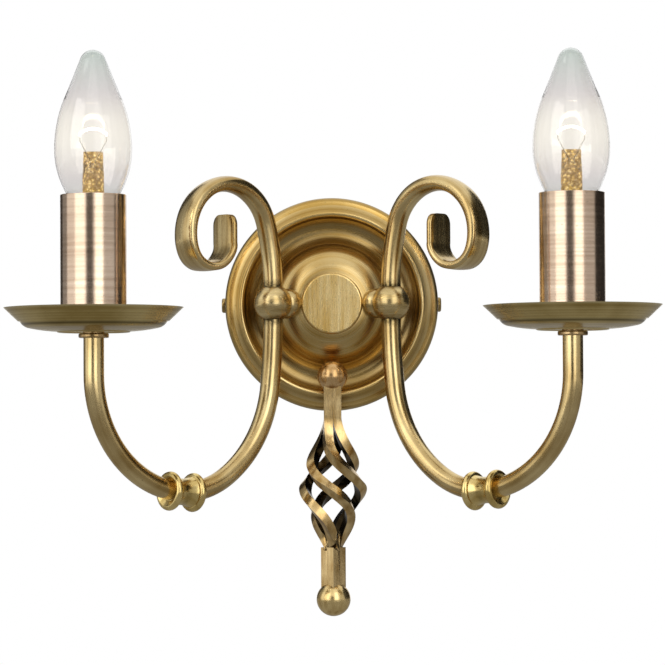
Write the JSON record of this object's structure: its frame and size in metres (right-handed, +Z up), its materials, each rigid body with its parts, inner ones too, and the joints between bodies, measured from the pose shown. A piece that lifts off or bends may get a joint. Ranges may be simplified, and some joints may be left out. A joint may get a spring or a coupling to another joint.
{
  "type": "wall light",
  "caption": "Wall sconce with curved candle arms, rolled scrolls, drip pans, candle sleeves and clear candle bulbs on a round stepped plate, with an open basket twist finial.",
  "frame": {"origin": "centre of the wall plate's back, on the wall", "axes": "the wall is the plane y = 0 and the fixture stands out towards -Y; +Z is up; +X is to the right as seen from the room"},
  "size_m": [0.296, 0.1417, 0.2594],
  "materials": {
    "plate_brass": "antiqued, spun and satin brushed, lacquered",
    "arm_brass": "antiqued, satin brushed along the tube",
    "pan_brass": "antiqued, spun, satin",
    "sleeve_bronze": "warm bronze, brushed round the tube",
    "finial_bronze": "warm bronze, polished satin",
    "bar_bronze": "dark bronze with rubbed bright edges",
    "screw_brass": "satin",
    "zinc_steel": "zinc plated",
    "contact_brass": "bright",
    "white_plastic": "moulded, matt",
    "holder_black": "moulded, satin",
    "lamp_glass": "clear",
    "mount_glass": "clear",
    "cap_nickel": "nickel plated",
    "cap_black": "black glass, gloss",
    "tip_solder": "solder",
    "filament_wire": "glowing wire",
    "lead_sheath": "clear flexible sheath over two cores"
  },
  "bodies": {
    "fixture": {"backplate": "plate_brass", "wall_bracket": "zinc_steel", "earth_screw": "screw_brass", "terminal_block": "white_plastic", "arm_left": "arm_brass", "ball_collar_left": "arm_brass", "scroll_left": "arm_brass", "arm_collar_left": "arm_brass", "arm_stem_left": "arm_brass", "pan_seat_left": "arm_brass", "stem_nut_left": "zinc_steel", "stem_washer_left": "zinc_steel", "holder_nipple_left": "zinc_steel", "drip_pan_left": "pan_brass", "candle_sleeve_left": "sleeve_bronze", "lampholder_left": "holder_black", "contact_shell_left": "contact_brass", "centre_contact_left": "contact_brass", "lead_left": "lead_sheath", "arm_right": "arm_brass", "ball_collar_right": "arm_brass", "scroll_right": "arm_brass", "arm_collar_right": "arm_brass", "arm_stem_right": "arm_brass", "pan_seat_right": "arm_brass", "stem_nut_right": "zinc_steel", "stem_washer_right": "zinc_steel", "holder_nipple_right": "zinc_steel", "drip_pan_right": "pan_brass", "candle_sleeve_right": "sleeve_bronze", "lampholder_right": "holder_black", "contact_shell_right": "contact_brass", "centre_contact_right": "contact_brass", "lead_right": "lead_sheath", "finial_washer": "zinc_steel", "finial_nut": "zinc_steel", "finial_stem": "finial_bronze", "finial_ball_top": "finial_bronze", "finial_ball_bottom": "finial_bronze", "twist_bar_1": "bar_bronze", "twist_bar_2": "bar_bronze", "twist_bar_3": "bar_bronze", "twist_bar_4": "bar_bronze"},
    "bulb_left": {"bulb_glass_left": "lamp_glass", "bulb_cap_left": "cap_nickel", "bulb_insulator_left": "cap_black", "bulb_tip_left": "tip_solder", "bulb_mount_left": "mount_glass", "bulb_filament_left": "filament_wire"},
    "bulb_right": {"bulb_glass_right": "lamp_glass", "bulb_cap_right": "cap_nickel", "bulb_insulator_right": "cap_black", "bulb_tip_right": "tip_solder", "bulb_mount_right": "mount_glass", "bulb_filament_right": "filament_wire"},
    "screw_left": {"side_screw_left": "screw_brass"},
    "screw_right": {"side_screw_right": "screw_brass"}
  },
  "joints": [
    {"name": "bulb_left_lift", "type": "slide", "parent": "fixture", "child": "bulb_left", "axis": [0, 0, 1], "range_m": [0, 0.04]},
    {"name": "screw_left_out", "type": "slide", "parent": "fixture", "child": "screw_left", "axis": [-1, 0, 0], "range_m": [0, 0.01]},
    {"name": "bulb_right_lift", "type": "slide", "parent": "fixture", "child": "bulb_right", "axis": [0, 0, 1], "range_m": [0, 0.04]},
    {"name": "screw_right_out", "type": "slide", "parent": "fixture", "child": "screw_right", "axis": [1, 0, 0], "range_m": [0, 0.01]}
  ]
}
